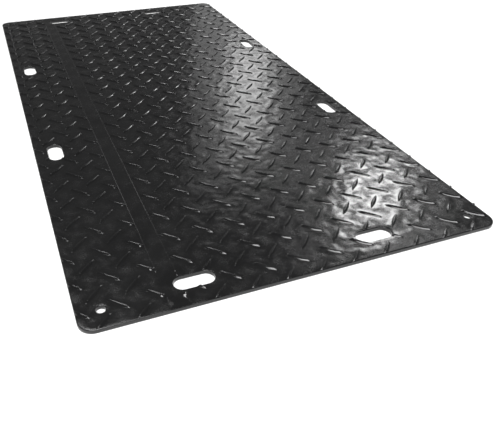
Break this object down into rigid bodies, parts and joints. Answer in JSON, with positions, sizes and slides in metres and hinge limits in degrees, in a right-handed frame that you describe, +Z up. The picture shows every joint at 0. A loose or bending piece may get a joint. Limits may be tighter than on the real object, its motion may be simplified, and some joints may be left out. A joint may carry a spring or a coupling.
{
  "type": "ground protection mat",
  "caption": "Flat rectangular moulded plastic ground mat with a raised diamond tread, hand slots along its edges and a connector hole in each corner.",
  "frame": {"origin": "centre of the mat's footprint, on the underside", "axes": "+X across the mat, from the edge with the smooth strip beside it to the other long edge; +Y along the mat, from the end with the bare panel to the far end; +Z up through the tread"},
  "size_m": [1.22, 2.44, 0.0172],
  "materials": {
    "plastic": "black moulded polyethylene, satin with cloudy gloss and dusty scuffs"
  },
  "bodies": {
    "root": {"mat": "plastic"}
  },
  "joints": []
}
